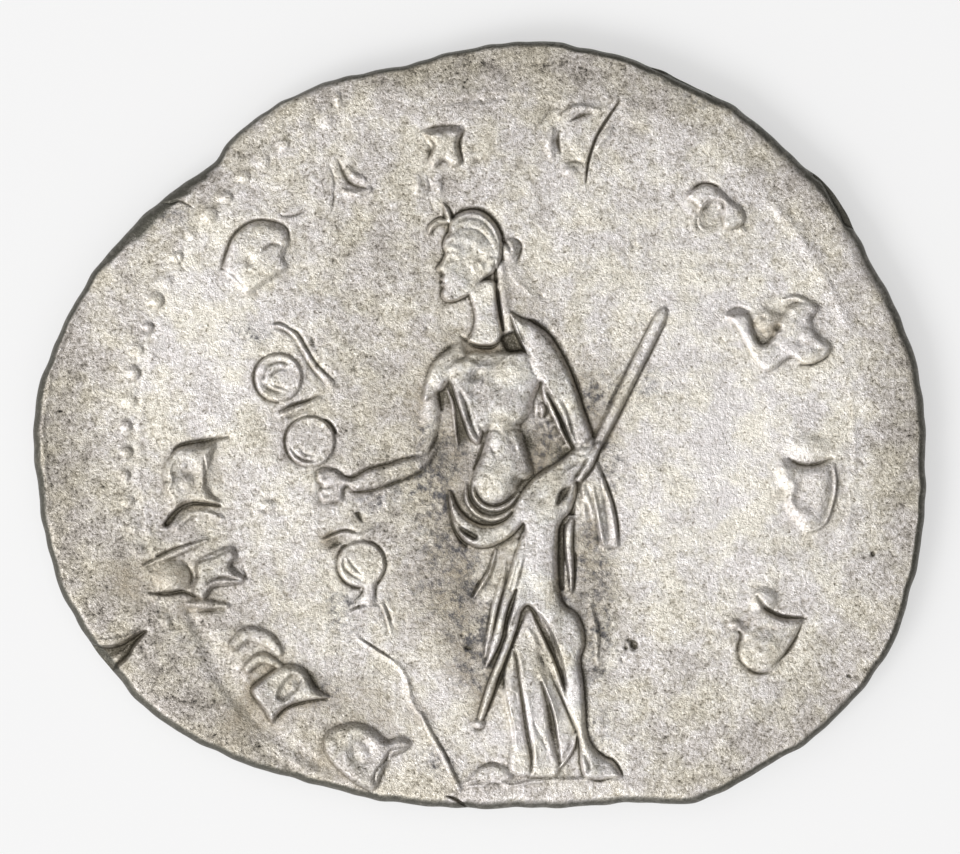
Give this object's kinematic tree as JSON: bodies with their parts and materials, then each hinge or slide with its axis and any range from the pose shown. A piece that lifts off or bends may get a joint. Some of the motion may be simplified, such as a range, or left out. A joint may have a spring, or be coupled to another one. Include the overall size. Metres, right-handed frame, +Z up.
{
  "type": "ancient silver coin",
  "caption": "Worn hammered silver coin lying reverse up: irregular oval flan, low relief of a standing draped figure with ensign and long rod, worn legend and beaded border.",
  "frame": {"origin": "middle of the coin's bounding box in X and Y, on the surface that it lies on", "axes": "+X to the figure's left side as seen, along the coin's longest way across; +Y towards the top of the reverse; +Z up out of the reverse"},
  "size_m": [0.0248, 0.0214, 0.0016],
  "materials": {
    "silver": "worn, grainy debased silver with brown and grey toning in the hollows"
  },
  "bodies": {
    "root": {"coin": "silver"}
  },
  "joints": []
}
